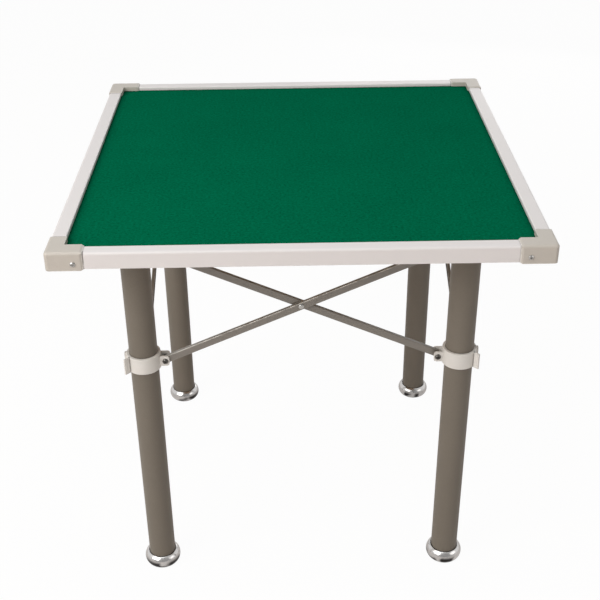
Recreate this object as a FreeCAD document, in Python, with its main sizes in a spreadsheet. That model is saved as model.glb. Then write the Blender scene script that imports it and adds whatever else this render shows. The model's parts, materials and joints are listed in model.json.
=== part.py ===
import FreeCAD, Part
import math
import os

import Sketcher
from FreeCAD import Placement, Rotation, Vector

# Driving dimensions in millimetres, each set by itself.
# Origin on the floor under the middle of the table, +Z up, -Y the front.
SIZES = {
    # Table top, measured over the corner caps
    "top_side": 800,
    "top_height": 752,
    "cap_height": 32,
    "cap_wall": 2,
    "cap_arm": 60,
    "cap_core": 31,
    "cap_edge_round": 5,
    "cap_corner_ease": 1.5,
    "cap_taper": 4,
    "cap_taper_depth": 1.7,
    "cap_fit": 0.1,
    # Rails, the board in their groove and the cloth on it
    "rail_width": 24.5,
    "rail_wall": 2.2,
    "rail_edge_round": 4,
    "rail_lip_round": 2,
    "rail_end_gap": 0.2,
    "lip_drop": 7,
    "cloth_thickness": 1.5,
    "board_thickness": 10,
    "board_tuck": 9,
    "groove_play": 0.2,
    # Screws through the cap arms
    "cap_screw_inset": 44,
    "cap_screw_rise": 11.5,
    "cap_screw_radius": 2,
    "cap_screw_length": 12,
    "cap_screw_head_radius": 4.2,
    "cap_screw_head_height": 2,
    "screw_fit": 0.05,
    # Stops under the board, outside each leg head
    "locator_arm": 46,
    "locator_width": 12,
    "locator_height": 14,
    "locator_play": 10,
    "locator_round": 4,
    "locator_screw_length": 20,
    # Legs
    "leg_inset": 121,
    "leg_diameter": 50,
    "leg_wall": 1.5,
    "head_plate": 4,
    "head_wall": 4.7,
    "head_fit": 0.1,
    "head_edge_round": 2,
    "head_pivot_drop": 44.4,
    "seat_gap": 0.1,
    # Sliding collars
    "collar_pivot_height": 476,
    "collar_height": 31,
    "collar_wall": 4.7,
    "collar_play": 0.35,
    "collar_edge_round": 1.5,
    "collar_slit": 1.6,
    "collar_flange_reach": 3.2,
    "collar_flange_thickness": 2.6,
    # Forks on the heads and collars
    "ear_thickness": 3,
    "ear_margin": 3,
    "ear_tip": 7,
    "ear_round": 5,
    "swing_gap": 2,
    # Crossing bars
    "bar_width": 13.5,
    "bar_depth": 6,
    "bar_wall": 1.5,
    "bar_bend": 1.2,
    "bar_play": 0.5,
    "bar_spacing": 1,
    # Pivots and crossing rivets
    "pivot_radius": 3,
    "pivot_fit": 0.08,
    "pivot_head_radius": 5.2,
    "pivot_head_height": 2.8,
    "pivot_nut_radius": 5.8,
    "pivot_nut_height": 5,
    "spacer_wall": 1.8,
    "spacer_play": 0.1,
    "rivet_radius": 3,
    "rivet_head_radius": 4.8,
    "rivet_head_height": 2,
    # Levelling feet
    "foot_bulge": 7.3,
    "foot_height": 27,
    "foot_rim": 1.4,
    "foot_rim_gap": 0.6,
    "foot_recess": 5,
    "foot_hollow_radius": 21,
    "foot_hollow_depth": 7,
    "socket_flange": 4,
    "socket_length": 34,
    "socket_fit": 0.1,
    "stud_radius": 5,
    "stud_length": 52,
    "stud_seat_depth": 12,
    "stud_fit": 0.05,
    "stud_chamfer": 1,
    # How far a cut runs past the solid
    "overrun": 1,
}

# Shares of the sizes that they follow
EAR_ROOT_SHARE = 0.3
CROSS_LENGTH_SHARE = 0.55
CROSS_WIDTH_SHARE = 0.15
CROSS_DEPTH_SHARE = 0.6
HEAD_SHOULDER_SHARE = 0.45
HEAD_CROWN_SHARE = 0.6
LOCATOR_SCREW_SHARE = 0.72

# How close two coordinates are to count as one
SAME_PLACE = 1e-6

CORNERS = {"front_left": 0, "front_right": 90, "back_right": 180, "back_left": 270}
SIDES = {"front": 0, "right": 90, "back": 180, "left": 270}
HALF_TURN = 180

doc = FreeCAD.newDocument("mahjong_table")
sheet = doc.addObject("Spreadsheet::Sheet", "sizes")
for row, (name, number) in enumerate(SIZES.items(), start=1):
    sheet.set(f"A{row}", name)
    sheet.set(f"B{row}", str(number))
    sheet.setAlias(f"B{row}", name)
doc.recompute()


class Size:
    """A length that knows its value and the sheet expression that gives it."""

    def __init__(self, value, text):
        self.value = value
        self.text = text

    def __add__(self, other):
        other = as_size(other)
        return Size(self.value + other.value, f"({self.text} + {other.text})")

    def __sub__(self, other):
        other = as_size(other)
        return Size(self.value - other.value, f"({self.text} - {other.text})")

    def __mul__(self, other):
        other = as_size(other)
        return Size(self.value * other.value, f"({self.text} * {other.text})")

    def __truediv__(self, other):
        other = as_size(other)
        return Size(self.value / other.value, f"({self.text} / {other.text})")

    def __neg__(self):
        return Size(-self.value, f"(-1 * {self.text})")


def as_size(item):
    return item if isinstance(item, Size) else Size(float(item), repr(float(item)))


def size(name):
    return Size(getattr(sheet, name), f"{sheet.Name}.{name}")


def root(item):
    return Size(math.sqrt(item.value), f"sqrt({item.text})")


def slope(rise, run):
    """The angle in degrees of a line with this rise and run."""
    return Size(math.degrees(math.atan2(rise.value, run.value)), f"atan2({rise.text}; {run.text})")


ZERO = as_size(0)

# Heights and reaches that several pieces share
half_top = size("top_side") / 2
cap_skin = size("cap_wall") + size("cap_fit")
rail_outer = half_top - cap_skin
rail_inner = rail_outer - size("rail_width")
rail_top = size("top_height") - cap_skin
rail_bottom = size("top_height") - size("cap_height") + cap_skin
cloth_top = rail_top - size("lip_drop")
board_top = cloth_top - size("cloth_thickness")
board_bottom = board_top - size("board_thickness")
board_half = rail_inner + size("board_tuck")
groove_half = board_half + size("groove_play")
groove_top = cloth_top + size("groove_play")
cap_screw_height = size("top_height") - size("cap_height") + size("cap_screw_rise")

leg_radius = size("leg_diameter") / 2
leg_place = half_top - size("leg_inset")
foot_floor = size("foot_height") - size("foot_recess")
socket_bottom = foot_floor + size("seat_gap")
leg_bottom = socket_bottom + size("socket_flange")
head_top = board_bottom - size("seat_gap")
leg_top = head_top - size("head_plate")
head_radius = leg_radius + size("head_fit") + size("head_wall")
collar_bore = leg_radius + size("collar_play")
collar_radius = collar_bore + size("collar_wall")

ear_height = size("bar_width") + size("ear_margin") * 2
fork_gap = size("bar_spacing") + (size("bar_depth") + size("bar_play")) * 2
fork_width = fork_gap + size("ear_thickness") * 2
pivot_reach = collar_radius + size("swing_gap") + size("bar_width") / 2
head_pivot_height = board_bottom - size("head_pivot_drop")
bar_rise = head_pivot_height - size("collar_pivot_height")
bar_run = (leg_place - pivot_reach) * 2
bar_length = root(bar_rise * bar_rise + bar_run * bar_run)
bar_slope = slope(bar_rise, bar_run)
crossing_height = (head_pivot_height + size("collar_pivot_height")) / 2
half_spacing = size("bar_spacing") / 2
outer_face = half_spacing + size("bar_depth")
outer_web = outer_face - size("bar_wall")


def bind(item, path, length):
    item.setExpression(path, length.text)


def place(item, x, y, z, rotation=Rotation()):
    """Put an object at x, y, z, turned by a rotation."""
    item.Placement = Placement(Vector(x.value, y.value, z.value), rotation)
    for letter, length in zip("xyz", (x, y, z)):
        bind(item, f"Placement.Base.{letter}", length)
    return item


def about_z(turn):
    return Rotation(Vector(0, 0, 1), turn)


def turned(turn, x, y):
    """A place of the front left corner, turned about the table's middle by quarter turns."""
    return {0: (x, y), 90: (-y, x), 180: (-x, -y), 270: (y, -x)}[turn]


def new_body(name):
    body = doc.addObject("PartDesign::Body", name)
    body.Label = name
    return body


def new_sketch(body, name, role, offset=ZERO, tilt=ZERO):
    """A sketch on one of the body's planes, moved along its normal and tilted within it."""
    sketch = body.newObject("Sketcher::SketchObject", name)
    plane = next(item for item in body.Origin.OriginFeatures if item.Role == role)
    sketch.AttachmentSupport = [(plane, "")]
    sketch.MapMode = "FlatFace"
    sketch.AttachmentOffset = Placement(Vector(0, 0, offset.value), about_z(tilt.value))
    bind(sketch, "AttachmentOffset.Base.z", offset)
    if tilt is not ZERO:
        bind(sketch, "AttachmentOffset.Rotation.Angle", tilt)
    return sketch


def hold_point(sketch, geometry, end, x, y):
    """Tie a point of a sketch to the sheet, across and up from the sketch's origin."""
    for kind, axis, length in (("DistanceX", -2, x), ("DistanceY", -1, y)):
        if length is None:
            continue
        if length is ZERO:
            sketch.addConstraint(Sketcher.Constraint("PointOnObject", geometry, end, axis))
        else:
            rule = Sketcher.Constraint(kind, -1, 1, geometry, end, length.value)
            bind(sketch, f"Constraints[{sketch.addConstraint(rule)}]", length)


def outline(sketch, points):
    """Draw a closed outline. A point is (x, y), or (x, y, centre x, centre y) where an arc starts."""
    first = sketch.GeometryCount
    count = len(points)
    for index, point in enumerate(points):
        begin = Vector(point[0].value, point[1].value, 0)
        following = points[(index + 1) % count]
        end = Vector(following[0].value, following[1].value, 0)
        if len(point) == 2:
            sketch.addGeometry(Part.LineSegment(begin, end), False)
        else:
            sketch.addGeometry(arc_between(begin, end, Vector(point[2].value, point[3].value, 0)), False)
    for index, point in enumerate(points):
        previous = first + (index - 1) % count
        joint = (previous, outline_end(sketch, previous, point), first + index,
                 outline_end(sketch, first + index, point))
        sketch.addConstraint(Sketcher.Constraint("Coincident", *joint))
        hold_point(sketch, first + index, joint[3], point[0], point[1])
        if len(point) == 4:
            hold_point(sketch, first + index, 3, point[2], None)


def arc_between(begin, end, centre):
    """The shorter arc round a centre from one point to another."""
    middle = (begin + end) / 2 - centre
    crown = centre + middle.normalize() * (begin - centre).Length
    return Part.Arc(begin, crown, end)


def outline_end(sketch, geometry, point):
    """Which end of a line or arc lies at a point, 1 for its start and 2 for its end."""
    place_of = Vector(point[0].value, point[1].value, 0)
    ends = [(sketch.getPoint(geometry, number) - place_of).Length for number in (1, 2)]
    return 1 + ends.index(min(ends))


def rectangle(sketch, left, bottom, right, top):
    outline(sketch, [(left, bottom), (right, bottom), (right, top), (left, top)])


def circle(sketch, x, y, radius):
    shape = Part.Circle(Vector(x.value, y.value, 0), Vector(0, 0, 1), radius.value)
    index = sketch.addGeometry(shape, False)
    hold_point(sketch, index, 3, x, y)
    rule = sketch.addConstraint(Sketcher.Constraint("Radius", index, radius.value))
    bind(sketch, f"Constraints[{rule}]", radius)


def extrude(body, kind, sketch, length, side="One side", reverse=False):
    """Pad or pocket a sketch by a length."""
    feature = body.newObject(f"PartDesign::{kind}", f"{sketch.Name}_{kind.lower()}")
    feature.Profile = sketch
    feature.SideType = side
    feature.Reversed = reverse
    bind(feature, "Length", length)
    return feature


def revolve(body, sketch):
    """Turn a profile about the sketch's vertical axis."""
    feature = body.newObject("PartDesign::Revolution", f"{sketch.Name}_revolve")
    feature.Profile = sketch
    feature.ReferenceAxis = (sketch, ["V_Axis"])
    return feature


def round_edges(body, feature, radius, chosen):
    """Fillet the edges of the newest feature that a test picks by their middle points."""
    doc.recompute()
    names = []
    for index, edge in enumerate(feature.Shape.Edges, start=1):
        middle = edge.valueAt((edge.FirstParameter + edge.LastParameter) / 2)
        if chosen(edge, middle):
            names.append(f"Edge{index}")
    fillet = body.newObject("PartDesign::Fillet", f"{feature.Name}_round")
    fillet.Base = (feature, names)
    bind(fillet, "Radius", radius)
    return fillet


def near(number, length):
    """Whether a coordinate lies at a size."""
    return math.isclose(number, length.value, abs_tol=SAME_PLACE)


def is_round(edge, radius):
    """Whether an edge is a circle or arc of a radius."""
    return hasattr(edge.Curve, "Radius") and near(edge.Curve.Radius, radius)


def cut_through(body, sketch):
    feature = body.newObject("PartDesign::Pocket", f"{sketch.Name}_cut")
    feature.Profile = sketch
    feature.Type = "ThroughAll"
    feature.SideType = "Symmetric"
    return feature


def rail(side, turn):
    """Hollow frame rail with a rounded outer edge; a lip and a shelf hold the board's edge."""
    body = new_body(f"rail_{side}")
    wall = size("rail_wall")
    outer, inner, groove = -rail_outer, -rail_inner, -groove_half
    edge, lip = size("rail_edge_round"), size("rail_lip_round")
    section = new_sketch(body, "rail_section", "YZ_Plane")
    outline(section, [
        (outer, rail_bottom),
        (groove, rail_bottom),
        (groove, board_bottom - wall),
        (inner, board_bottom - wall),
        (inner, board_bottom),
        (groove, board_bottom),
        (groove, groove_top),
        (inner, groove_top),
        (inner, rail_top - lip, inner - lip, rail_top - lip),
        (inner - lip, rail_top),
        (outer + edge, rail_top, outer + edge, rail_top - edge),
        (outer, rail_top - edge),
    ])
    outline(section, [
        (outer + wall, rail_bottom + wall),
        (groove - wall, rail_bottom + wall),
        (groove - wall, rail_top - wall),
        (outer + edge, rail_top - wall, outer + edge, rail_top - edge),
        (outer + wall, rail_top - edge),
    ])
    half_length = half_top - size("cap_core") - size("rail_end_gap")
    extrude(body, "Pad", section, half_length * 2, "Symmetric")
    holes = new_sketch(body, "rail_screw_holes", "XZ_Plane", rail_outer)
    hole_place = half_top - size("cap_screw_inset")
    for x in (hole_place, -hole_place):
        circle(holes, x, cap_screw_height, size("cap_screw_radius") + size("screw_fit"))
    extrude(body, "Pocket", holes, wall + size("overrun"))
    return place(body, ZERO, ZERO, ZERO, about_z(turn))


def corner_cap(corner, turn):
    """Moulded corner: a solid core with two tapered arms that sleeve the rail ends."""
    body = new_body(f"corner_cap_{corner}")
    arm, wall, tall = size("cap_arm"), size("cap_wall"), size("cap_height")
    width = size("rail_width") + cap_skin * 2
    bend = size("cap_edge_round") + size("cap_corner_ease")
    plan = new_sketch(body, "cap_plan", "XY_Plane")
    outline(plan, [
        (bend, ZERO), (arm, ZERO), (arm, width), (width, width), (width, arm), (ZERO, arm),
        (ZERO, bend, bend, bend),
    ])
    block = extrude(body, "Pad", plan, tall)

    def outer_top(edge, middle):
        return near(middle.z, tall) and (near(middle.x, ZERO) or near(middle.y, ZERO) or is_round(edge, bend))

    round_edges(body, block, size("cap_edge_round"), outer_top)
    sleeve_round = size("rail_edge_round") + size("cap_fit")
    for role, offset, reverse in (("YZ_Plane", arm, False), ("XZ_Plane", -arm, True)):
        sleeve = new_sketch(body, "cap_sleeve", role, offset)
        outline(sleeve, [
            (wall, wall),
            (width - wall, wall),
            (width - wall, tall - wall),
            (wall + sleeve_round, tall - wall, wall + sleeve_round, tall - wall - sleeve_round),
            (wall, tall - wall - sleeve_round),
        ])
        extrude(body, "Pocket", sleeve, arm - size("cap_core"), reverse=reverse)
    taper, fall = arm - size("cap_taper"), size("cap_taper_depth")
    for role in ("XZ_Plane", "YZ_Plane"):
        ends = new_sketch(body, "cap_end_slopes", role)
        outline(ends, [(taper, ZERO), (arm, ZERO), (arm, fall)])
        outline(ends, [(taper, tall), (arm, tall), (arm, tall - fall)])
        cut_through(body, ends)
    sides = new_sketch(body, "cap_side_slopes", "XY_Plane")
    for edge, inset in ((ZERO, fall), (width, width - fall)):
        outline(sides, [(taper, edge), (arm, edge), (arm, inset)])
        outline(sides, [(edge, taper), (edge, arm), (inset, arm)])
    cut_through(body, sides)
    cap_base = size("top_height") - tall
    notch_start = half_top - groove_half
    notch_end = arm + size("overrun")
    notch = new_sketch(body, "cap_board_notch", "XY_Plane", board_bottom - cap_base)
    rectangle(notch, notch_start, notch_start, notch_end, notch_end)
    extrude(body, "Pocket", notch, groove_top - board_bottom, reverse=True)
    for role, reverse in (("XZ_Plane", False), ("YZ_Plane", True)):
        hole = new_sketch(body, "cap_screw_hole", role)
        hole_radius = size("cap_screw_radius") + size("screw_fit")
        circle(hole, size("cap_screw_inset"), size("cap_screw_rise"), hole_radius)
        extrude(body, "Pocket", hole, wall + size("overrun"), reverse=reverse)
    x, y = turned(turn, -half_top, -half_top)
    return place(body, x, y, cap_base, about_z(turn))


def locator_screw_places():
    """Where the two screws of the front left stop go, from the table's middle."""
    reach = head_radius + size("locator_play") + size("locator_width")
    along = size("locator_arm") * LOCATOR_SCREW_SHARE - reach - leg_place
    across = size("locator_width") / 2 - reach - leg_place
    return (along, across), (across, along)


def table_board():
    """The board, with pilot holes below for the screws of the stops."""
    body = new_body("table_board")
    plan = new_sketch(body, "board_plan", "XY_Plane", board_bottom)
    rectangle(plan, -board_half, -board_half, board_half, board_half)
    extrude(body, "Pad", plan, size("board_thickness"))
    pilots = new_sketch(body, "board_pilot_holes", "XY_Plane", board_bottom)
    for turn in CORNERS.values():
        for x, y in locator_screw_places():
            circle(pilots, *turned(turn, x, y), size("cap_screw_radius") + size("screw_fit"))
    grip = size("locator_screw_length") - size("locator_height")
    extrude(body, "Pocket", pilots, grip + size("overrun"), reverse=True)
    return body


def playing_cloth():
    """The cloth laid over the whole board."""
    cloth = doc.addObject("Part::Box", "playing_cloth")
    bind(cloth, "Length", board_half * 2)
    bind(cloth, "Width", board_half * 2)
    bind(cloth, "Height", size("cloth_thickness"))
    return place(cloth, -board_half, -board_half, board_top)


def leg_locators():
    """L-shaped stops under the board, clear of the outer sides of the leg heads."""
    stops = []
    width, arm, bend = size("locator_width"), size("locator_arm"), size("locator_round")
    inner = -(head_radius + size("locator_play"))
    outer = inner - width
    for turn in CORNERS.values():
        body = new_body("locator")
        plan = new_sketch(body, "locator_plan", "XY_Plane")
        outline(plan, [
            (outer + bend, outer), (outer + arm, outer), (outer + arm, inner), (inner, inner),
            (inner, outer + arm), (outer, outer + arm),
            (outer, outer + bend, outer + bend, outer + bend),
        ])
        extrude(body, "Pad", plan, size("locator_height"), reverse=True)
        holes = new_sketch(body, "locator_holes", "XY_Plane")
        for x, y in locator_screw_places():
            circle(holes, x + leg_place, y + leg_place, size("cap_screw_radius") + size("screw_fit"))
        cut_through(body, holes)
        x, y = turned(turn, -leg_place, -leg_place)
        stops.append(place(body, x, y, board_bottom, about_z(turn)))
    return group("leg_locators", stops)


def group(name, members):
    """Several separate solids that share one node."""
    compound = doc.addObject("Part::Compound", name)
    compound.Label = name
    compound.Links = members
    return compound


def copy_of(pattern, x, y, z, rotation):
    """The same fastener again at another place."""
    link = doc.addObject("App::Link", f"{pattern.Name}_copy")
    link.LinkedObject = pattern
    return place(link, x, y, z, rotation)


def headed_pin(name, radius, length, head, head_height):
    """A screw or bolt along -Z under a crowned head with a cross recess, seated at z = 0."""
    body = new_body(name)
    profile = new_sketch(body, f"{name}_profile", "XZ_Plane")
    outline(profile, [
        (ZERO, -length),
        (radius, -length),
        (radius, ZERO),
        (head, ZERO),
        (head, head_height * HEAD_SHOULDER_SHARE),
        (head * HEAD_CROWN_SHARE, head_height),
        (ZERO, head_height),
    ])
    revolve(body, profile)
    cross = new_sketch(body, f"{name}_cross", "XY_Plane", head_height)
    reach, half = head * CROSS_LENGTH_SHARE, head * CROSS_WIDTH_SHARE
    outline(cross, [
        (reach, half), (half, half), (half, reach), (-half, reach), (-half, half), (-reach, half),
        (-reach, -half), (-half, -half), (-half, -reach), (half, -reach), (half, -half), (reach, -half),
    ])
    extrude(body, "Pocket", cross, head_height * CROSS_DEPTH_SHARE)
    return body


def cap_screws():
    """One screw through each arm of each corner cap, into the rail."""
    screw = headed_pin("cap_screw", size("cap_screw_radius"), size("cap_screw_length"),
                       size("cap_screw_head_radius"), size("cap_screw_head_height"))
    outward = {"along_x": Rotation(Vector(1, 0, 0), 90), "along_y": Rotation(Vector(0, 1, 0), -90)}
    along = size("cap_screw_inset") - half_top
    places = {"along_x": (along, -half_top), "along_y": (-half_top, along)}
    screws = []
    for turn in CORNERS.values():
        for arm, (x, y) in places.items():
            rotation = about_z(turn) * outward[arm]
            screws.append(copy_of(screw, *turned(turn, x, y), cap_screw_height, rotation))
    return group("cap_screws", screws)


def locator_screws():
    """Two screws up through each stop into the board."""
    screw = headed_pin("locator_screw", size("cap_screw_radius"), size("locator_screw_length"),
                       size("cap_screw_head_radius"), size("cap_screw_head_height"))
    screws = []
    seat = board_bottom - size("locator_height")
    for turn in CORNERS.values():
        for x, y in locator_screw_places():
            screws.append(copy_of(screw, *turned(turn, x, y), seat, Rotation(Vector(1, 0, 0), 180)))
    return group("locator_screws", screws)


def at_leg(item, turn, height):
    x, y = turned(turn, -leg_place, -leg_place)
    return place(item, x, y, height, about_z(turn))


def leg_tube(corner, turn):
    body = new_body(f"leg_tube_{corner}")
    ring = new_sketch(body, "tube_ring", "XY_Plane")
    circle(ring, ZERO, ZERO, leg_radius)
    circle(ring, ZERO, ZERO, leg_radius - size("leg_wall"))
    extrude(body, "Pad", ring, leg_top - leg_bottom)
    return at_leg(body, turn, leg_bottom)


def forks(body, ring_bore, ring_radius):
    """Two forks at right angles on a ring, about z = 0, each with a slot and a pivot hole."""
    ear_root = ring_bore + (ring_radius - ring_bore) * EAR_ROOT_SHARE
    tip = pivot_reach + size("ear_tip")
    half, bend = ear_height / 2, size("ear_round")
    for role in ("XZ_Plane", "YZ_Plane"):
        ears = new_sketch(body, "ears", role)
        outline(ears, [
            (ear_root, -half),
            (tip - bend, -half, tip - bend, bend - half),
            (tip, bend - half),
            (tip, half - bend, tip - bend, half - bend),
            (tip - bend, half),
            (ear_root, half),
        ])
        extrude(body, "Pad", ears, fork_width, "Symmetric")
    slots = new_sketch(body, "fork_slots", "XY_Plane")
    slot_end = tip + size("overrun")
    rectangle(slots, ring_radius, -fork_gap / 2, slot_end, fork_gap / 2)
    rectangle(slots, -fork_gap / 2, ring_radius, fork_gap / 2, slot_end)
    cut_through(body, slots)
    for role in ("XZ_Plane", "YZ_Plane"):
        hole = new_sketch(body, "pivot_hole", role)
        circle(hole, pivot_reach, ZERO, size("pivot_radius") + size("pivot_fit"))
        cut_through(body, hole)


def leg_head(corner, turn):
    """Cap on the tube's top that carries the upper ends of the bars."""
    body = new_body(f"leg_head_{corner}")
    bottom = -ear_height / 2
    top = size("head_pivot_drop") - size("seat_gap")
    bore = leg_radius + size("head_fit")
    skirt = new_sketch(body, "head_skirt", "XY_Plane", bottom)
    circle(skirt, ZERO, ZERO, head_radius)
    circle(skirt, ZERO, ZERO, bore)
    extrude(body, "Pad", skirt, top - bottom)
    lid = new_sketch(body, "head_lid", "XY_Plane", top - size("head_plate"))
    circle(lid, ZERO, ZERO, head_radius)
    plate = extrude(body, "Pad", lid, size("head_plate"))

    def top_rim(edge, middle):
        return is_round(edge, head_radius) and near(middle.z, top)

    round_edges(body, plate, size("head_edge_round"), top_rim)
    forks(body, bore, head_radius)
    return at_leg(body, turn, head_pivot_height)


def collar(corner, turn):
    """Split collar that slides on the tube and carries the lower ends of the bars.

    Its split, between two flanges, faces the table's left or right side.
    """
    body = new_body(f"collar_{corner}")
    split_along_x = turn % HALF_TURN == 0
    band = new_sketch(body, "collar_band", "XY_Plane")
    circle(band, ZERO, ZERO, collar_radius)
    circle(band, ZERO, ZERO, collar_bore)
    ring = extrude(body, "Pad", band, size("collar_height"), "Symmetric")
    round_edges(body, ring, size("collar_edge_round"), lambda edge, middle: is_round(edge, collar_radius))
    forks(body, collar_bore, collar_radius)
    half_slit = size("collar_slit") / 2
    half_flange = half_slit + size("collar_flange_thickness")
    flange_root = collar_bore + size("collar_wall") * EAR_ROOT_SHARE
    flange_tip = collar_radius + size("collar_flange_reach")

    def strip(sketch, near_end, far_end, half):
        """A strip outwards from the tube, along the split."""
        if split_along_x:
            rectangle(sketch, -far_end, -half, -near_end, half)
        else:
            rectangle(sketch, -half, -far_end, half, -near_end)

    flanges = new_sketch(body, "collar_flanges", "XY_Plane")
    strip(flanges, flange_root, flange_tip, half_flange)
    extrude(body, "Pad", flanges, size("collar_height") - size("collar_edge_round") * 2, "Symmetric")
    slit = new_sketch(body, "collar_slit_plan", "XY_Plane")
    strip(slit, collar_bore - size("overrun"), flange_tip + size("overrun"), half_slit)
    cut_through(body, slit)
    return at_leg(body, turn, size("collar_pivot_height"))


def tube_piece(name, bore, radius, length):
    """A short plain tube along +Z."""
    body = new_body(name)
    ring = new_sketch(body, f"{name}_ring", "XY_Plane")
    circle(ring, ZERO, ZERO, radius)
    circle(ring, ZERO, ZERO, bore)
    extrude(body, "Pad", ring, length)
    return body


def pivot_patterns():
    """The bolt and nut that every fork has, and a spacer for a bar in the outer or the inner layer."""
    bore = size("pivot_radius") + size("pivot_fit")
    bolt = headed_pin("pivot_bolt", size("pivot_radius"), fork_width + size("pivot_nut_height"),
                      size("pivot_head_radius"), size("pivot_head_height"))
    spacer_radius = bore + size("spacer_wall")
    free = fork_gap / 2 - size("spacer_play")
    spacers = {
        True: tube_piece("long_spacer", bore, spacer_radius, free + outer_web),
        False: tube_piece("short_spacer", bore, spacer_radius, free + half_spacing),
    }
    hexagon = doc.addObject("Part::Prism", "nut_hexagon")
    hexagon.Polygon = 6
    bind(hexagon, "Circumradius", size("pivot_nut_radius"))
    bind(hexagon, "Height", size("pivot_nut_height"))
    thread = doc.addObject("Part::Cylinder", "nut_thread")
    bind(thread, "Radius", bore)
    bind(thread, "Height", size("pivot_nut_height"))
    nut = doc.addObject("Part::Cut", "pivot_nut")
    nut.Base = hexagon
    nut.Tool = thread
    return bolt, nut, spacers


def pivots(name, turn, height, patterns, bars_outside):
    """Bolts, nuts and spacers of the two forks on a leg; a spacer fills the fork behind each bar's web."""
    bolt, nut, spacers = patterns
    outward = {"x": Rotation(Vector(1, 0, 0), 90), "y": Rotation(Vector(0, 1, 0), -90)}
    inward = {"x": Rotation(Vector(1, 0, 0), -90), "y": Rotation(Vector(0, 1, 0), 90)}
    spacer_seat = (fork_gap - size("spacer_play")) / 2
    pieces = []
    for fork, bar_outside in zip("xy", bars_outside):
        spacer = spacers[bar_outside]
        seats = [
            (bolt, -fork_width / 2, outward[fork]),
            (nut, fork_width / 2, inward[fork]),
            (spacer, spacer_seat, outward[fork]) if bar_outside else (spacer, -spacer_seat, inward[fork]),
        ]
        for pattern, across, rotation in seats:
            x, y = (pivot_reach, across) if fork == "x" else (across, pivot_reach)
            pieces.append(copy_of(pattern, x, y, ZERO, rotation))
    return at_leg(group(name, pieces), turn, height)


def brace(side, turn, layer):
    """Steel channel with rounded web ends; its web is on the outside and its flanges point inwards."""
    body = new_body(f"brace_{side}_{layer}")
    outer = layer == "outer"
    tilt = bar_slope if outer else -bar_slope
    offset = half_spacing if outer else -half_spacing
    face = outer_face if outer else offset
    half, end = bar_length / 2, size("bar_width") / 2
    web = new_sketch(body, "brace_web", "XZ_Plane", face, tilt)
    outline(web, [
        (-half, -end),
        (half, -end, half, ZERO),
        (half + end, ZERO, half, ZERO),
        (half, end),
        (-half, end, -half, ZERO),
        (-half - end, ZERO, -half, ZERO),
    ])
    extrude(body, "Pad", web, size("bar_wall"), reverse=True)
    flanges = new_sketch(body, "brace_flanges", "XZ_Plane", offset, tilt)
    rectangle(flanges, -half, end - size("bar_wall"), half, end)
    rectangle(flanges, -half, -end, half, size("bar_wall") - end)
    channel = extrude(body, "Pad", flanges, size("bar_depth"), reverse=not outer)

    def bent_edge(edge, middle):
        return near(-middle.y, face) and near(edge.Length, bar_length)

    round_edges(body, channel, size("bar_bend"), bent_edge)
    holes = new_sketch(body, "brace_holes", "XZ_Plane", offset, tilt)
    for x in (-half, half):
        circle(holes, x, ZERO, size("pivot_radius") + size("pivot_fit"))
    circle(holes, ZERO, ZERO, size("rivet_radius") + size("pivot_fit"))
    cut_through(body, holes)
    x, y = turned(turn, ZERO, -leg_place)
    return place(body, x, y, crossing_height, about_z(turn))


def rivet_patterns():
    """The rivet that joins two crossing bars, along Y, and the spacer between their webs."""
    play = size("spacer_play") / 2
    front, back = outer_face + play, half_spacing + size("bar_wall") + play
    radius, head, tall = size("rivet_radius"), size("rivet_head_radius"), size("rivet_head_height")
    rivet = new_body("rivet")
    profile = new_sketch(rivet, "rivet_profile", "XY_Plane")
    outline(profile, [
        (ZERO, -front - tall),
        (head * HEAD_CROWN_SHARE, -front - tall),
        (head, -front - tall * HEAD_SHOULDER_SHARE),
        (head, -front),
        (radius, -front),
        (radius, back),
        (head, back),
        (head, back + tall * HEAD_SHOULDER_SHARE),
        (head * HEAD_CROWN_SHARE, back + tall),
        (ZERO, back + tall),
    ])
    revolve(rivet, profile)
    bore = radius + size("pivot_fit")
    spacer = new_body("rivet_spacer")
    ring = new_sketch(spacer, "rivet_spacer_profile", "XY_Plane")
    rectangle(ring, bore, play - outer_web, bore + size("spacer_wall"), half_spacing - play)
    revolve(spacer, ring)
    return rivet, spacer


def cross_rivet(side, turn, patterns):
    pieces = [copy_of(pattern, ZERO, ZERO, ZERO, Rotation()) for pattern in patterns]
    x, y = turned(turn, ZERO, -leg_place)
    return place(group(f"cross_rivet_{side}", pieces), x, y, crossing_height, about_z(turn))


def foot_socket(corner, turn):
    """Plug in the tube's lower end, with a flange under it and a thread for the foot."""
    body = new_body(f"foot_socket_{corner}")
    bore = size("stud_radius") + size("stud_fit")
    plug = leg_radius - size("leg_wall") - size("socket_fit")
    flange = size("socket_flange")
    profile = new_sketch(body, "socket_profile", "XZ_Plane")
    outline(profile, [
        (bore, ZERO),
        (leg_radius, ZERO),
        (leg_radius, flange),
        (plug, flange),
        (plug, flange + size("socket_length")),
        (bore, flange + size("socket_length")),
    ])
    revolve(body, profile)
    return at_leg(body, turn, socket_bottom)


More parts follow.
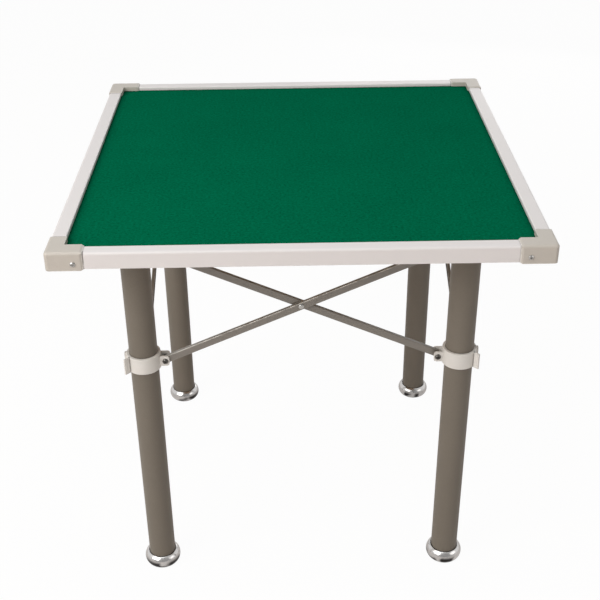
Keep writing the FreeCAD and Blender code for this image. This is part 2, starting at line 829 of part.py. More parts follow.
def foot_cup(corner, turn):
    """Bell of the levelling foot: a bulging wall, a rim round the tube's end and a hollow below."""
    body = new_body(f"foot_cup_{corner}")
    tall = size("foot_height")
    rim_inner = leg_radius + size("foot_rim_gap")
    rim = rim_inner + size("foot_rim")
    bulge = size("foot_bulge")
    bulge_radius = (tall * tall / 4 + bulge * bulge) / (bulge * 2)
    seat = size("stud_radius") + size("stud_fit")
    seat_floor = foot_floor - size("stud_seat_depth")
    profile = new_sketch(body, "cup_profile", "XZ_Plane")
    outline(profile, [
        (ZERO, size("foot_hollow_depth")),
        (size("foot_hollow_radius"), size("foot_hollow_depth")),
        (size("foot_hollow_radius"), ZERO),
        (rim, ZERO, rim + bulge - bulge_radius, tall / 2),
        (rim, tall),
        (rim_inner, tall),
        (rim_inner, foot_floor),
        (seat, foot_floor),
        (seat, seat_floor),
        (ZERO, seat_floor),
    ])
    revolve(body, profile)
    return at_leg(body, turn, ZERO)


def foot_stud(corner, turn):
    body = new_body(f"foot_stud_{corner}")
    radius, length, bevel = size("stud_radius"), size("stud_length"), size("stud_chamfer")
    profile = new_sketch(body, "stud_profile", "XZ_Plane")
    outline(profile, [
        (ZERO, ZERO), (radius, ZERO), (radius, length - bevel), (radius - bevel, length), (ZERO, length),
    ])
    revolve(body, profile)
    return at_leg(body, turn, foot_floor - size("stud_seat_depth"))


def build():
    """Every node of the table, in one list."""
    nodes = [playing_cloth(), table_board(), leg_locators(), cap_screws(), locator_screws()]
    pivot_set = pivot_patterns()
    rivet_set = rivet_patterns()
    for side, turn in SIDES.items():
        nodes.append(rail(side, turn))
        nodes.append(brace(side, turn, "outer"))
        nodes.append(brace(side, turn, "inner"))
        nodes.append(cross_rivet(side, turn, rivet_set))
    for corner, turn in CORNERS.items():
        nodes.append(corner_cap(corner, turn))
        nodes.append(leg_tube(corner, turn))
        nodes.append(leg_head(corner, turn))
        nodes.append(pivots(f"head_pivots_{corner}", turn, head_pivot_height, pivot_set, (False, True)))
        nodes.append(collar(corner, turn))
        nodes.append(pivots(f"collar_pivots_{corner}", turn, size("collar_pivot_height"), pivot_set,
                            (True, False)))
        nodes.append(foot_socket(corner, turn))
        nodes.append(foot_cup(corner, turn))
        nodes.append(foot_stud(corner, turn))
    return nodes


def write(nodes):
    """Stop on any object that failed, then write each node to its own file."""
    doc.recompute()
    for item in doc.Objects:
        if "Invalid" in item.State or "Error" in item.State:
            raise RuntimeError(f"{item.Label} failed: {item.State}")
    for node in nodes:
        if node.Shape.isNull() or not node.Shape.isValid():
            raise RuntimeError(f"{node.Label} has no valid shape")
    os.makedirs("parts", exist_ok=True)
    for node in nodes:
        node.Shape.exportStep(f"parts/{node.Label}.step")
        print(node.Label, len(node.Shape.Solids), round(node.Shape.Volume))


write(build())
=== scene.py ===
import json
import math

import bmesh
import bpy
from mathutils import Matrix, Vector


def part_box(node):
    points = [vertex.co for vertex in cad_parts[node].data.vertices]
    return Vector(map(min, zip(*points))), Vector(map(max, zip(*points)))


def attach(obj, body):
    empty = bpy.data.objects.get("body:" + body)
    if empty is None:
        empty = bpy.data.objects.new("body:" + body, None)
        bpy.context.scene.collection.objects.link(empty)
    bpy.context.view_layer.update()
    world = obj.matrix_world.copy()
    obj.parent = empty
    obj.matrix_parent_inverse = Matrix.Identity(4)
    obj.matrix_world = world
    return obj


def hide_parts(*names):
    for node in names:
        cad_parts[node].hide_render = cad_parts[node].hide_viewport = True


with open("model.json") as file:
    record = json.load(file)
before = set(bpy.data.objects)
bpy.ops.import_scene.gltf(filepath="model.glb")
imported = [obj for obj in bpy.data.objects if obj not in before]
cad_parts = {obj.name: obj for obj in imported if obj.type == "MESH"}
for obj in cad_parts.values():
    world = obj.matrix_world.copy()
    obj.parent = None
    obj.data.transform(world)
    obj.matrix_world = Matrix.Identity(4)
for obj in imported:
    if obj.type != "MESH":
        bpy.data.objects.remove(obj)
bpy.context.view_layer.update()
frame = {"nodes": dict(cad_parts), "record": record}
nodes = frame["nodes"]
record = frame["record"]

# Camera, in metres, degrees and pixels of the square picture
PICTURE_PIXELS = 600
CAMERA_PLACE = Vector((-0.0229, -1.8483, 1.5089))
CAMERA_DOWN = 30.26
CAMERA_TURN = 0.41
CAMERA_ROLL = -0.70
FOCAL_PIXELS = 1058.9
MIDDLE_PIXEL = (294.4, 298.8)
SENSOR_MM = 36.0

# Studio
FLOOR_HALF = 14.0
FLOOR_COLOUR = (0.86, 0.80, 0.76, 1)
FLOOR_WHITE_SHARE = 0.967
FLOOR_MIRROR_SHARE = 0.4
AMBIENT_STRENGTH = 0.28
SKY_STRENGTH = 0.987
LIGHT_AIM = Vector((0, 0, 0.45))
WARM_WHITE = (1, 0.985, 0.965)
COOL_WHITE = (0.95, 0.99, 1)

# Room behind the camera, as mirrors see it: how bright, and the Y of the directions where it begins and ends
ROOM_STRENGTH = 0.4
ROOM_BEGINS = 0.05
ROOM_FULL = -0.75

# Shared effects: noise keeps to a part of its range about the middle, so it is stretched
NOISE_MIDDLE = 0.5
NOISE_STRETCH = 4.0
MASK_SAMPLES = 6
# Size of the streaks that break up the dust and painted shade in corners
DUST_AND_SHADE_STREAK = 0.004

# Paint and mouldings
ROUGHNESS_DRIFT = 0.022
PAINT_DUST_AND_SHADE = (0.045, 0.038, 0.03, 1)
WORN_AND_HIGHLIGHT_PLASTIC = (0.86, 0.84, 0.8, 1)
PEEL_TO_GRAIN = 6

# Painted shade line on the rails where the caps end
CAP_END = -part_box("corner_cap_front_left")[1].x
SEAM_WIDTH = 0.0022
SEAM_GAP = 0.05

# Plating
PLATE_STREAK = 0.012
PLATE_STREAK_SHAPE = (1.0, 1.0, 9.0)
# Patches of painted dark reflection near the floor: their size, and the share of their height where they are
# full
DARK_REFLECTION_SIZE = 0.03
DARK_REFLECTION_FULL_SHARE = 0.6

# Pressed board
BOARD_WOOD = (0.42, 0.30, 0.19, 1)
BOARD_DARK = (0.24, 0.155, 0.085, 1)
FLAKES_PER_METRE = 170.0
FLAKE_SHAPE = (1.0, 0.45, 1.0)

# Felt
FELT_GREEN = (0.0005, 0.108, 0.0487, 1)
FELT_LINT = (0.0018, 0.205, 0.1, 1)
FELT_SHADE = (0.0003, 0.012, 0.006, 1)
FELT_SHEEN = (0.02, 0.8, 0.45, 1)
FIBRE_SIZE = 0.0011
FIBRE_STRETCH = 0.22
SWIRL_REACH = 0.004
SWIRLS_PER_METRE = 260.0

# Cloth
CLOTH_CELLS = 120
CLOTH_WAVE = 0.00012
CLOTH_WAVE_LENGTH = 0.21
CLOTH_CROSS_WAVE_SHARE = 0.83
CLOTH_SKEW = 0.37
CLOTH_CROSS_SKEW = 0.29

# Clamp flanges of the collars
CLAMP_REACH = 0.0115
CLAMP_LIP = 0.0022
CLAMP_ROOT = 0.0015
CLAMP_THICKNESS = 0.0032
CLAMP_SLIT = 0.0016
CLAMP_ROUND = 0.0007
CLAMP_ROUND_STEPS = 3


# Node helpers


def feed(tree, socket, value):
    """Joins a socket to the one given, or sets it to the value given."""
    if isinstance(value, bpy.types.NodeSocket):
        tree.links.new(value, socket)
    else:
        socket.default_value = value


def add(tree, kind, inputs=None, **settings):
    """A new node; its inputs are values to set or sockets to join."""
    node = tree.nodes.new(kind)
    for name, value in settings.items():
        setattr(node, name, value)
    for name, value in (inputs or {}).items():
        feed(tree, node.inputs[name], value)
    return node


def math_node(tree, operation, first, second=0.0, clamp=False):
    node = add(tree, "ShaderNodeMath", {0: first, 1: second}, operation=operation, use_clamp=clamp)
    return node.outputs[0]


def vector_node(tree, operation, first, second):
    return add(tree, "ShaderNodeVectorMath", {0: first, 1: second}, operation=operation).outputs


def mix_colour(tree, share, first, second):
    """The first colour, giving way to the second as the share goes from 0 to 1."""
    node = add(tree, "ShaderNodeMix", data_type="RGBA")
    for index, value in ((0, share), (6, first), (7, second)):
        feed(tree, node.inputs[index], value)
    return node.outputs[2]


def spread(tree, value, start, full, low=0.0, high=1.0):
    """Goes smoothly from low to high as the value goes from start to full."""
    inputs = {"Value": value, "From Min": start, "From Max": full, "To Min": low, "To Max": high}
    return add(tree, "ShaderNodeMapRange", inputs, interpolation_type="SMOOTHSTEP").outputs[0]


def place_of(tree):
    """The surface point in metres, fixed to the piece."""
    return add(tree, "ShaderNodeTexCoord").outputs["Object"]


def stretched(tree, place, scale):
    return add(tree, "ShaderNodeMapping", {"Vector": place, "Scale": scale}).outputs[0]


def noise(tree, size, detail=3.0, place=None):
    """Cloudy noise whose blots are about the size given, in metres."""
    scale = math_node(tree, "DIVIDE", 1.0, size)
    inputs = {"Vector": place or place_of(tree), "Scale": scale, "Detail": detail}
    return add(tree, "ShaderNodeTexNoise", inputs).outputs["Fac"]


def new_group(name, inputs, outputs):
    """An empty shader group: its tree, its inputs' sockets and the node that takes its outputs."""
    group = bpy.data.node_groups.new(name, "ShaderNodeTree")
    for label, (kind, value) in inputs.items():
        socket = group.interface.new_socket(label, in_out="INPUT", socket_type=kind)
        socket.default_value = value
    for label, kind in outputs.items():
        group.interface.new_socket(label, in_out="OUTPUT", socket_type=kind)
    return group, group.nodes.new("NodeGroupInput").outputs, group.nodes.new("NodeGroupOutput")


def use(tree, group, **inputs):
    """A group placed in a material; underscores in the names stand for spaces."""
    node = add(tree, "ShaderNodeGroup", node_tree=group)
    for name, value in inputs.items():
        feed(tree, node.inputs[name.replace("_", " ")], value)
    return node.outputs


# Shared effects


def mottle_group():
    """Colour that drifts in clouds and fine specks, and the noise that makes the clouds."""
    group, given, out = new_group("mottle", {
        "Colour": ("NodeSocketColor", (0.5, 0.5, 0.5, 1)),
        "Cloud size": ("NodeSocketFloat", 0.08),
        "Cloud depth": ("NodeSocketFloat", 0.05),
        "Speck size": ("NodeSocketFloat", 0.0015),
        "Speck depth": ("NodeSocketFloat", 0.03),
    }, {"Colour": "NodeSocketColor", "Cloud": "NodeSocketFloat"})
    cloud = noise(group, given["Cloud size"])
    speck = noise(group, given["Speck size"], detail=2.0)
    factor = 1.0
    for value, depth in ((cloud, given["Cloud depth"]), (speck, given["Speck depth"])):
        swing = math_node(group, "SUBTRACT", value, NOISE_MIDDLE)
        swing = math_node(group, "MULTIPLY", swing, depth)
        swing = math_node(group, "MULTIPLY", swing, NOISE_STRETCH)
        factor = math_node(group, "ADD", swing, factor)
    colour = vector_node(group, "MULTIPLY", given["Colour"], factor)[0]
    group.links.new(colour, out.inputs["Colour"])
    group.links.new(cloud, out.inputs["Cloud"])
    return group


def edge_group():
    """Masks of the sharp edges, for wear and painted highlights, and of the upper bends, for a painted
    highlight, both broken up in patches.
    """
    group, given, out = new_group("edge_wear_and_highlight", {
        "Width": ("NodeSocketFloat", 0.0008),
        "Break size": ("NodeSocketFloat", 0.006),
        "Amount": ("NodeSocketFloat", 0.5),
    }, {"Mask": "NodeSocketFloat", "Upper bend highlight": "NodeSocketFloat"})
    rounded = add(group, "ShaderNodeBevel", {"Radius": given["Width"]}, samples=MASK_SAMPLES).outputs[0]
    plain = add(group, "ShaderNodeNewGeometry").outputs["Normal"]
    turn = vector_node(group, "DOT_PRODUCT", rounded, plain)["Value"]
    edge = spread(group, turn, start=0.998, full=0.90)
    on_piece = add(group, "ShaderNodeVectorTransform", {0: rounded}, vector_type="NORMAL",
                   convert_from="WORLD", convert_to="OBJECT").outputs[0]
    upward = add(group, "ShaderNodeSeparateXYZ", {0: on_piece}).outputs["Z"]
    bend = math_node(group, "MULTIPLY", spread(group, upward, start=0.1, full=0.3),
                     spread(group, upward, start=0.88, full=0.78))
    gaps = spread(group, noise(group, given["Break size"]), start=0.35, full=0.6, low=0.25)
    for label, mask in (("Mask", edge), ("Upper bend highlight", bend)):
        mask = math_node(group, "MULTIPLY", mask, gaps)
        mask = math_node(group, "MULTIPLY", mask, given["Amount"], clamp=True)
        group.links.new(mask, out.inputs[label])
    return group


def crease_dust_and_shade_group():
    """Mask, from ambient occlusion, of the corners and seams that are darkened with dust and painted shade.
    """
    group, given, out = new_group("crease_dust_and_shade", {
        "Reach": ("NodeSocketFloat", 0.006),
        "Start": ("NodeSocketFloat", 0.75),
        "Full": ("NodeSocketFloat", 0.15),
        "Amount": ("NodeSocketFloat", 0.5),
    }, {"Mask": "NodeSocketFloat"})
    openness = add(group, "ShaderNodeAmbientOcclusion", {"Distance": given["Reach"]}, samples=MASK_SAMPLES)
    mask = spread(group, openness.outputs["AO"], given["Start"], given["Full"])
    streak = spread(group, noise(group, DUST_AND_SHADE_STREAK), start=0.3, full=0.65, low=0.5)
    mask = math_node(group, "MULTIPLY", mask, streak)
    mask = math_node(group, "MULTIPLY", mask, given["Amount"], clamp=True)
    group.links.new(mask, out.inputs["Mask"])
    return group


def grain_group():
    """Height of a fine pebbled or orange-peel surface."""
    group, given, out = new_group("pebble_grain", {
        "Grain size": ("NodeSocketFloat", 0.0006),
        "Peel size": ("NodeSocketFloat", 0.004),
        "Peel share": ("NodeSocketFloat", 0.5),
    }, {"Height": "NodeSocketFloat"})
    fine = noise(group, given["Grain size"], detail=1.5)
    peel = noise(group, given["Peel size"], detail=1.0)
    peel = math_node(group, "MULTIPLY", peel, given["Peel share"])
    group.links.new(math_node(group, "ADD", fine, peel), out.inputs["Height"])
    return group


MOTTLE = mottle_group()
EDGE = edge_group()
CREASE_DUST_AND_SHADE = crease_dust_and_shade_group()
GRAIN = grain_group()


# Finishes


def new_material(name, **values):
    """A material with one shader; values go straight to the shader's own sockets."""
    material = bpy.data.materials.new(name)
    material.use_nodes = True
    shader = material.node_tree.nodes["Principled BSDF"]
    for label, value in values.items():
        shader.inputs[label.replace("_", " ")].default_value = value
    return material, material.node_tree, shader


def bump(tree, shader, height, depth, strength):
    """Relief of the shader's surface, with its depth in metres."""
    node = add(tree, "ShaderNodeBump", {"Height": height, "Distance": depth, "Strength": strength})
    tree.links.new(node.outputs[0], shader.inputs["Normal"])


def drifting(tree, cloud, roughness):
    """Roughness that drifts a little either way with the clouds of the colour."""
    low, high = roughness - ROUGHNESS_DRIFT, roughness + ROUGHNESS_DRIFT
    return spread(tree, cloud, start=0.25, full=0.75, low=low, high=high)


def felt_finish():
    """Short dense green felt: matted fibres, a nap that lies in patches, a soft sheen and painted shade next
    to the rails.
    """
    material, tree, shader = new_material(
        "green_felt", Roughness=1.0, Specular_IOR_Level=0.0, Sheen_Weight=0.03, Sheen_Roughness=0.5,
        Sheen_Tint=FELT_SHEEN)
    place = place_of(tree)
    swirls = add(tree, "ShaderNodeTexNoise", {"Vector": place, "Scale": SWIRLS_PER_METRE, "Detail": 2.0})
    swirl = vector_node(tree, "MULTIPLY", swirls.outputs["Color"], (SWIRL_REACH, SWIRL_REACH, SWIRL_REACH))[0]
    matted = vector_node(tree, "ADD", place, swirl)[0]
    along = noise(tree, FIBRE_SIZE, place=stretched(tree, matted, (1.0, FIBRE_STRETCH, 1.0)))
    across = noise(tree, FIBRE_SIZE, place=stretched(tree, matted, (FIBRE_STRETCH, 1.0, 1.0)))
    fibres = math_node(tree, "MAXIMUM", along, across)
    tone = use(tree, MOTTLE, Colour=FELT_GREEN, Cloud_size=0.1, Cloud_depth=0.06, Speck_size=0.0045,
               Speck_depth=0.3)
    lint = spread(tree, fibres, start=0.52, full=0.72, high=0.34)
    colour = mix_colour(tree, lint, tone["Colour"], FELT_LINT)
    # The felt darkens next to the rails and in its hollows as painted shade
    shade = use(tree, CREASE_DUST_AND_SHADE, Reach=0.016, Start=0.98, Full=0.45, Amount=0.85)["Mask"]
    tree.links.new(mix_colour(tree, shade, colour, FELT_SHADE), shader.inputs["Base Color"])
    bump(tree, shader, fibres, depth=0.0006, strength=0.7)
    return material


def painted_finish(name, colour, wear_and_highlight, edge, roughness, gloss, pale_edge_output="Mask"):
    """Satin baked paint on steel, with orange peel, corners darkened with dust and painted shade, and pale
    worn edges or a painted highlight along the upper bends.
    """
    material, tree, shader = new_material(name, Specular_IOR_Level=gloss)
    tone = use(tree, MOTTLE, Colour=colour, Cloud_size=0.12, Cloud_depth=0.045, Speck_size=0.0018,
               Speck_depth=0.05)
    # Edges pale as worn paint, or the upper bends pale as a painted highlight
    pale_edges = use(tree, EDGE, Break_size=0.02, **edge)[pale_edge_output]
    # Corners and contacts darken with dust and painted shade
    dust_and_shade = use(tree, CREASE_DUST_AND_SHADE, Reach=0.008, Amount=0.7)["Mask"]
    dusty_and_shaded = mix_colour(tree, dust_and_shade, tone["Colour"], PAINT_DUST_AND_SHADE)
    tree.links.new(mix_colour(tree, pale_edges, dusty_and_shaded, wear_and_highlight), shader.inputs["Base Color"])
    tree.links.new(drifting(tree, tone["Cloud"], roughness), shader.inputs["Roughness"])
    relief = use(tree, GRAIN, Grain_size=0.0009, Peel_size=0.005, Peel_share=0.7)["Height"]
    bump(tree, shader, relief, depth=0.00006, strength=0.6)
    return material


def cap_seam_shade(tree):
    """Mask of the painted shade line, broken here and there, on the rails where the caps end."""
    place = add(tree, "ShaderNodeSeparateXYZ", {0: place_of(tree)}).outputs
    along = math_node(tree, "MINIMUM", *(math_node(tree, "ABSOLUTE", place[axis]) for axis in "XY"))
    line = spread(tree, along, start=CAP_END - SEAM_WIDTH, full=CAP_END - SEAM_WIDTH / 2)
    gaps = spread(tree, noise(tree, SEAM_GAP), start=0.42, full=0.55, low=0.15, high=0.8)
    return math_node(tree, "MULTIPLY", line, gaps)


def moulded_finish(name, colour, dust_and_shade_colour, roughness, grain_size, grain_depth, dust_and_shade, edge,
                   drift=0.025, seam=None):
    """Moulded plastic or enamel with a fine grain, pale edges from handling wear and on the caps a painted
    highlight, and corners and seams darkened with dust and painted shade.
    """
    material, tree, shader = new_material(name, Specular_IOR_Level=0.5)
    tone = use(tree, MOTTLE, Colour=colour, Cloud_size=0.05, Cloud_depth=drift, Speck_size=0.0012,
               Speck_depth=drift)
    # Pale edges: handling wear, and on the caps a painted highlight
    wear_and_highlight = mix_colour(tree, use(tree, EDGE, **edge)["Mask"], tone["Colour"], WORN_AND_HIGHLIGHT_PLASTIC)
    # Corners and seams darken with dust and painted shade
    dusty_and_shaded = mix_colour(tree, use(tree, CREASE_DUST_AND_SHADE, **dust_and_shade)["Mask"], wear_and_highlight, dust_and_shade_colour)
    # The rails darken in a painted shade line where the caps end
    if seam:
        dusty_and_shaded = mix_colour(tree, seam(tree), dusty_and_shaded, dust_and_shade_colour)
    tree.links.new(dusty_and_shaded, shader.inputs["Base Color"])
    tree.links.new(drifting(tree, tone["Cloud"], roughness), shader.inputs["Roughness"])
    relief = use(tree, GRAIN, Grain_size=grain_size, Peel_size=grain_size * PEEL_TO_GRAIN, Peel_share=0.4)
    bump(tree, shader, relief["Height"], depth=grain_depth, strength=0.7)
    return material


def metal_finish(name, colour, dust_and_shade_colour, roughness, smear, dust_and_shade, dark_reflection_height=0.0):
    """Plated steel with finger marks and streaks, crevices darkened with dust and painted shade, and patches
    of painted dark reflection below a height over the floor.
    """
    material, tree, shader = new_material(name, Metallic=1.0)
    tone = use(tree, MOTTLE, Colour=colour, Cloud_size=0.02, Cloud_depth=0.03, Speck_size=0.0008,
               Speck_depth=0.04)
    # Crevices and contacts darken with dust and painted shade
    tone_with_painted_shade = mix_colour(tree, use(tree, CREASE_DUST_AND_SHADE, **dust_and_shade)["Mask"], tone["Colour"], dust_and_shade_colour)
    # Below the given height the plating takes patches of painted dark reflection
    if dark_reflection_height:
        height = add(tree, "ShaderNodeSeparateXYZ", {0: place_of(tree)}).outputs["Z"]
        near_floor = spread(tree, height, start=dark_reflection_height, full=dark_reflection_height * DARK_REFLECTION_FULL_SHARE)
        patches = spread(tree, noise(tree, DARK_REFLECTION_SIZE, detail=1.0), start=0.47, full=0.58)
        tone_with_painted_shade = mix_colour(tree, math_node(tree, "MULTIPLY", near_floor, patches), tone_with_painted_shade, dust_and_shade_colour)
    tree.links.new(tone_with_painted_shade, shader.inputs["Base Color"])
    streaks = noise(tree, PLATE_STREAK, place=stretched(tree, place_of(tree), PLATE_STREAK_SHAPE))
    marks = math_node(tree, "MULTIPLY", streaks, tone["Cloud"])
    smeared = spread(tree, marks, start=0.12, full=0.42, low=roughness, high=roughness + smear)
    tree.links.new(smeared, shader.inputs["Roughness"])
    bump(tree, shader, streaks, depth=0.00002, strength=0.4)
    return material


def board_finish():
    """Pressed board seen from below: flakes of wood of several tones."""
    material, tree, shader = new_material("pressed_board", Specular_IOR_Level=0.25)
    flat = stretched(tree, place_of(tree), FLAKE_SHAPE)
    flakes = add(tree, "ShaderNodeTexVoronoi", {"Vector": flat, "Scale": FLAKES_PER_METRE, "Randomness": 1.0})
    tint = add(tree, "ShaderNodeSeparateColor", {0: flakes.outputs["Color"]}).outputs[0]
    tone = use(tree, MOTTLE, Colour=BOARD_WOOD, Cloud_size=0.09, Cloud_depth=0.06, Speck_size=0.0014,
               Speck_depth=0.12)
    share = spread(tree, tint, start=0.2, full=1.0, high=0.55)
    tree.links.new(mix_colour(tree, share, tone["Colour"], BOARD_DARK), shader.inputs["Base Color"])
    tree.links.new(spread(tree, tint, start=0.0, full=1.0, low=0.7, high=0.88), shader.inputs["Roughness"])
    bump(tree, shader, tint, depth=0.0002, strength=0.5)
    return material


FINISHES = {
    "playing_cloth": felt_finish(),
    "board": board_finish(),
    "rail": moulded_finish(
        "rail_enamel", colour=(0.72, 0.676, 0.662, 1), dust_and_shade_colour=(0.12, 0.1, 0.085, 1), roughness=0.3,
        grain_size=0.0008, grain_depth=0.00001, drift=0.006, seam=cap_seam_shade,
        dust_and_shade={"Reach": 0.004, "Start": 0.9, "Full": 0.55, "Amount": 0.55},
        edge={"Width": 0.0008, "Amount": 0.15}),
    # The caps' wide pale rounded edges are a painted highlight
    "corner_cap": moulded_finish(
        "cap_beige", colour=(0.51, 0.463, 0.41, 1), dust_and_shade_colour=(0.2, 0.17, 0.14, 1), roughness=0.366,
        grain_size=0.0005, grain_depth=0.00006,
        dust_and_shade={"Reach": 0.005, "Amount": 0.3}, edge={"Width": 0.0025, "Amount": 0.5}),
    "white_plastic": moulded_finish(
        "collar_white", colour=(0.695, 0.665, 0.625, 1), dust_and_shade_colour=(0.23, 0.2, 0.165, 1), roughness=0.434,
        grain_size=0.0006, grain_depth=0.00008,
        dust_and_shade={"Reach": 0.005, "Amount": 0.45}, edge={"Width": 0.0008, "Amount": 0.25}),
    "dark_plastic": moulded_finish(
        "socket_black", colour=(0.02, 0.02, 0.021, 1), dust_and_shade_colour=(0.06, 0.055, 0.05, 1), roughness=0.5,
        grain_size=0.0006, grain_depth=0.00008,
        dust_and_shade={"Reach": 0.005, "Amount": 0.5}, edge={"Width": 0.0008, "Amount": 0.03}),
    "leg_paint": painted_finish(
        "tube_taupe", colour=(0.178, 0.154, 0.125, 1), wear_and_highlight=(0.42, 0.39, 0.35, 1), roughness=0.434, gloss=0.2,
        edge={"Width": 0.0009, "Amount": 0.25}),
    "brace_paint": painted_finish(
        "bar_taupe", colour=(0.166, 0.145, 0.121, 1), wear_and_highlight=(0.5, 0.47, 0.42, 1), roughness=0.3, gloss=1.0,
        edge={"Width": 0.0009, "Amount": 0.75}),
    # The outer bars' pale upper bends are a painted highlight
    "bend_highlight_paint": painted_finish(
        "bar_taupe_bend_highlight", colour=(0.166, 0.145, 0.121, 1), wear_and_highlight=(0.7, 0.67, 0.61, 1), roughness=0.3,
        gloss=1.0, edge={"Width": 0.003, "Amount": 0.78}, pale_edge_output="Upper bend highlight"),
    "foot_chrome": metal_finish(
        "foot_chrome", colour=(0.60, 0.585, 0.575, 1), dust_and_shade_colour=(0.025, 0.023, 0.022, 1), roughness=0.205,
        smear=0.055, dust_and_shade={"Reach": 0.006, "Start": 0.97, "Full": 0.6, "Amount": 1.0}, dark_reflection_height=0.021),
    # Two copies of one zinc plating: this one painted dark for dark reflections on bolt heads, the next
    # painted light for lit rivets and screws
    "zinc": metal_finish(
        "zinc_plate_painted_dark", colour=(0.115, 0.108, 0.1, 1), dust_and_shade_colour=(0.025, 0.022, 0.02, 1), roughness=0.345,
        smear=0.045, dust_and_shade={"Reach": 0.004, "Start": 0.85, "Amount": 0.95}),
    "zinc_plate_painted_lit": metal_finish(
        "zinc_plate_painted_lit", colour=(0.48, 0.47, 0.45, 1), dust_and_shade_colour=(0.03, 0.027, 0.024, 1), roughness=0.29,
        smear=0.035, dust_and_shade={"Reach": 0.002, "Start": 0.85, "Amount": 0.8}),
}


# The table's own nodes keep their shapes and take their finishes


def finish_name(part):
    """A node's finish is its slot's, but small fasteners take the lighter copy of the zinc plating and outer
    bars a painted highlight along their upper bends.
    """
    node = part["node"]
    if node.startswith(("cross_rivet", "cap_screws")):
        return "zinc_plate_painted_lit"
    if node.startswith("brace_") and node.endswith("_outer"):
        return "bend_highlight_paint"
    return part["material_slot"]


for part in record["subparts"]:
    mesh = nodes[part["node"]].data
    mesh.materials.clear()
    mesh.materials.append(FINISHES[finish_name(part)])


# New pieces: the cloth and the collars' clamps


def new_piece(name, shape, slot):
    """A smooth piece with its slot's finish, made from a shape that is used up."""
    mesh = bpy.data.meshes.new(name)
    shape.to_mesh(mesh)
    shape.free()
    mesh.materials.append(FINISHES[slot])
    mesh.shade_smooth()
    piece = bpy.data.objects.new(name, mesh)
    bpy.context.scene.collection.objects.link(piece)
    return piece


def playing_cloth():
    """The felt as a thin sheet pulled over the board, with its edges under the rails' lips."""
    low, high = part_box("playing_cloth")
    grid = bmesh.new()
    bmesh.ops.create_grid(grid, x_segments=CLOTH_CELLS, y_segments=CLOTH_CELLS, size=(high.x - low.x) / 2)
    wave = 2 * math.pi / CLOTH_WAVE_LENGTH
    cross_wave = wave * CLOTH_CROSS_WAVE_SHARE
    for point in grid.verts:
        x, y = point.co.x, point.co.y
        rise = math.sin(wave * (x + CLOTH_SKEW * y)) * math.cos(cross_wave * (y - CLOTH_CROSS_SKEW * x))
        point.co.z = high.z - CLOTH_WAVE + CLOTH_WAVE * rise
    felt = new_piece("felt_sheet", grid, "playing_cloth")
    body = felt.modifiers.new("thickness", "SOLIDIFY")
    body.thickness = high.z - low.z - 2 * CLOTH_WAVE
    body.offset = -1
    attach(felt, "table_top")
    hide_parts("playing_cloth")


def clamp_flanges(corner):
    """The long flange and the short lip that close a collar on the table's outer corner, and their slit."""
    low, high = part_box(f"collar_{corner}")
    leg_low, leg_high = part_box(f"leg_tube_{corner}")
    axis = (leg_low + leg_high) / 2
    axis.z = (low.z + high.z) / 2
    radius = min(axis.y - low.y, high.y - axis.y)
    outward = Vector((math.copysign(1, axis.x), math.copysign(1, axis.y), 0)).normalized()
    across = Vector((-outward.y, outward.x, 0))
    turn = Matrix((outward, across, (0, 0, 1))).transposed().to_4x4()
    plates = bmesh.new()
    for side, reach in ((-1, CLAMP_LIP), (1, CLAMP_REACH)):
        away = across * math.copysign(side, across.x * axis.x)
        middle = axis + outward * (radius + (reach - CLAMP_ROOT) / 2)
        middle += away * (CLAMP_SLIT + CLAMP_THICKNESS) / 2
        size = Matrix.Diagonal((reach + CLAMP_ROOT, CLAMP_THICKNESS, high.z - low.z, 1))
        bmesh.ops.create_cube(plates, size=1, matrix=Matrix.Translation(middle) @ turn @ size)
    piece = new_piece(f"clamp_flanges_{corner}", plates, "white_plastic")
    edges = piece.modifiers.new("rounded edges", "BEVEL")
    edges.width = CLAMP_ROUND
    edges.segments = CLAMP_ROUND_STEPS
    edges.harden_normals = True
    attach(piece, f"{corner}_collar")


playing_cloth()
for corner in ("front_left", "front_right", "back_right", "back_left"):
    clamp_flanges(corner)


# Studio


def floor():
    """A pale floor that is white to the camera, partly white to mirrors, and still takes the shadow."""
    material = bpy.data.materials.new("studio_floor")
    material.use_nodes = True
    tree = material.node_tree
    tree.nodes.remove(tree.nodes["Principled BSDF"])
    pale = add(tree, "ShaderNodeBsdfDiffuse", {"Color": FLOOR_COLOUR}).outputs[0]
    white = add(tree, "ShaderNodeEmission", {"Strength": 1.0}).outputs[0]
    path = add(tree, "ShaderNodeLightPath").outputs
    mirrored = math_node(tree, "MULTIPLY", path["Is Glossy Ray"], FLOOR_MIRROR_SHARE)
    seen = math_node(tree, "MAXIMUM", path["Is Camera Ray"], path["Is Transmission Ray"])
    share = math_node(tree, "MULTIPLY", math_node(tree, "MAXIMUM", seen, mirrored), FLOOR_WHITE_SHARE)
    mixed = add(tree, "ShaderNodeMixShader", {0: share, 1: pale, 2: white}).outputs[0]
    tree.links.new(mixed, tree.nodes["Material Output"].inputs["Surface"])
    mesh = bpy.data.meshes.new("studio_floor")
    corners = [(FLOOR_HALF * x, FLOOR_HALF * y, 0) for x, y in ((-1, -1), (1, -1), (1, 1), (-1, 1))]
    mesh.from_pydata(corners, [], [(0, 1, 2, 3)])
    mesh.materials.append(material)
    plane = bpy.data.objects.new("studio_floor", mesh)
    bpy.context.scene.collection.objects.link(plane)


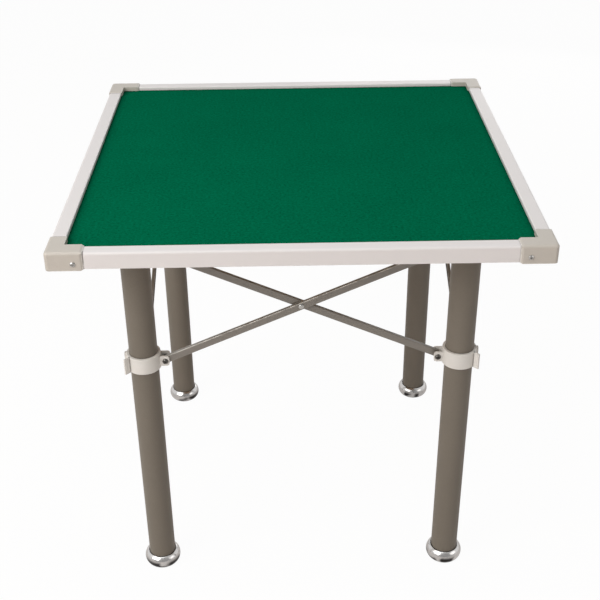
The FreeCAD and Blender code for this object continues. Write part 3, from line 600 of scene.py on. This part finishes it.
def surroundings():
    """White to the camera and behind the table, darker where the room behind the camera would be."""
    world = bpy.data.worlds.new("studio")
    bpy.context.scene.world = world
    world.use_nodes = True
    tree = world.node_tree
    direction = add(tree, "ShaderNodeTexCoord").outputs["Generated"]
    depth = add(tree, "ShaderNodeSeparateXYZ", {0: direction}).outputs["Y"]
    mirrored = spread(tree, depth, start=ROOM_FULL, full=ROOM_BEGINS, low=ROOM_STRENGTH)
    path = add(tree, "ShaderNodeLightPath").outputs
    lit = spread(tree, path["Is Glossy Ray"], start=0.0, full=1.0, low=AMBIENT_STRENGTH, high=mirrored)
    seen = math_node(tree, "MAXIMUM", path["Is Camera Ray"], path["Is Transmission Ray"])
    strength = spread(tree, seen, start=0.0, full=1.0, low=lit, high=SKY_STRENGTH)
    back = tree.nodes["Background"]
    back.inputs["Color"].default_value = (1, 1, 1, 1)
    tree.links.new(strength, back.inputs["Strength"])


def softbox(name, place, side, watts, colour):
    """A square soft light aimed at the middle of the table."""
    lamp = bpy.data.lights.new(name, "AREA")
    lamp.shape = "SQUARE"
    lamp.size = side
    lamp.energy = watts
    lamp.color = colour
    holder = bpy.data.objects.new(name, lamp)
    holder.location = place
    holder.rotation_euler = (LIGHT_AIM - Vector(place)).to_track_quat("-Z", "Y").to_euler()
    bpy.context.scene.collection.objects.link(holder)


def camera():
    """The picture's own viewpoint."""
    lens = bpy.data.cameras.new("camera")
    lens.sensor_width = SENSOR_MM
    lens.lens = SENSOR_MM * FOCAL_PIXELS / PICTURE_PIXELS
    lens.shift_x = 0.5 - MIDDLE_PIXEL[0] / PICTURE_PIXELS
    lens.shift_y = MIDDLE_PIXEL[1] / PICTURE_PIXELS - 0.5
    holder = bpy.data.objects.new("camera", lens)
    turn = Matrix.Rotation(math.radians(-CAMERA_TURN), 4, "Z")
    tip = Matrix.Rotation(math.radians(90 - CAMERA_DOWN), 4, "X")
    roll = Matrix.Rotation(math.radians(CAMERA_ROLL), 4, "Z")
    holder.matrix_world = Matrix.Translation(CAMERA_PLACE) @ turn @ tip @ roll
    bpy.context.scene.collection.objects.link(holder)
    bpy.context.scene.camera = holder


floor()
surroundings()
softbox("key_light", place=(-2.4, -2.3, 2.4), side=2.4, watts=94, colour=WARM_WHITE)
softbox("top_light", place=(-0.4, -0.5, 2.75), side=2.2, watts=21, colour=COOL_WHITE)
softbox("fill_light", place=(2.6, -1.6, 1.5), side=1.6, watts=11, colour=WARM_WHITE)
softbox("rear_light", place=(0.9, 3.0, 0.95), side=1.6, watts=9, colour=WARM_WHITE)
camera()
bpy.context.scene.view_settings.view_transform = "Standard"
